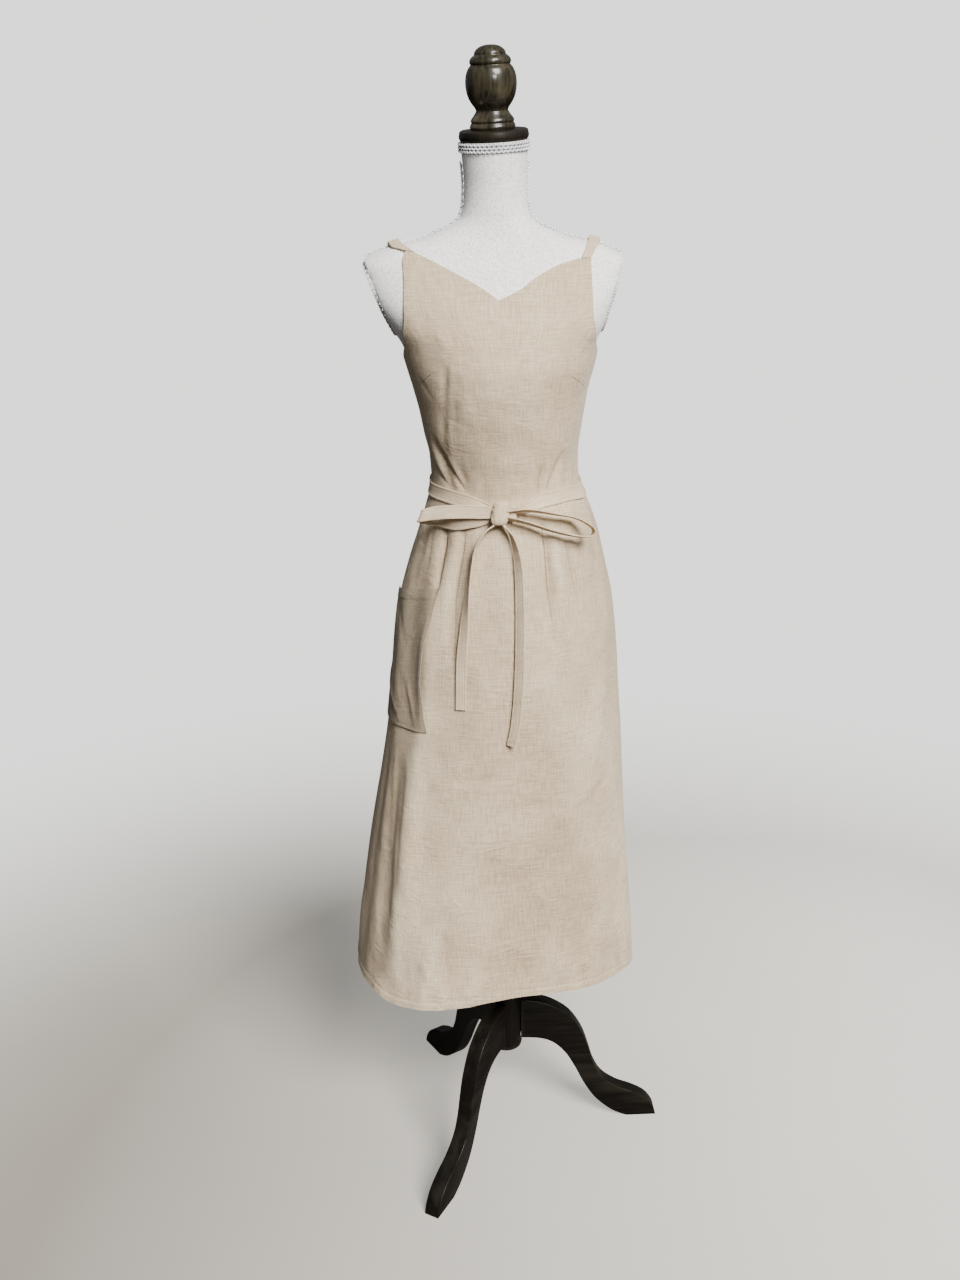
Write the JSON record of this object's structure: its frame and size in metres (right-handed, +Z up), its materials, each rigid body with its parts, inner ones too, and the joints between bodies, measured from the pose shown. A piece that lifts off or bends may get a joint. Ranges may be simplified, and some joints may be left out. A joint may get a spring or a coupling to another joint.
{
  "type": "apron dress on a limbless dress form and wooden stand",
  "caption": "Sleeveless linen apron dress with a sweetheart bib, tied waist and patch pocket, on a limbless dress form with a turned finial and a wooden stand.",
  "frame": {"origin": "on the floor, under the centre of the whole part's bounding box; the stand's axis is 7 mm towards -X and 4 mm towards +Y from it", "axes": "+Z up from the feet to the finial; the wearer's front, with the bow and the neckline, faces -Y; +X is the right of someone who looks at the front"},
  "size_m": [0.4968, 0.4492, 1.6727],
  "materials": {
    "linen": "matte plain-weave linen",
    "linen_tie": "matte plain-weave linen, topstitched",
    "form_cover": "matte woven cover, flecked",
    "braid": "soft satin braid",
    "dark_wood": "dark stained, satin varnish",
    "pole_paint": "satin black paint"
  },
  "bodies": {
    "root": {"front_panel": "linen", "back_panel_left": "linen", "back_panel_right": "linen", "strap_left": "linen", "strap_right": "linen", "pocket": "linen", "belt": "linen_tie", "knot": "linen_tie", "loop_left": "linen_tie", "loop_right": "linen_tie", "tail_left": "linen_tie", "tail_right": "linen_tie", "torso": "form_cover", "neck_trim": "braid", "arm_braid_left": "braid", "arm_braid_right": "braid", "shoulder_braid_left": "braid", "shoulder_braid_right": "braid", "neck_cap": "dark_wood", "finial": "dark_wood", "pole": "pole_paint", "post": "dark_wood", "leg_1": "dark_wood", "leg_2": "dark_wood", "leg_3": "dark_wood"}
  },
  "joints": []
}
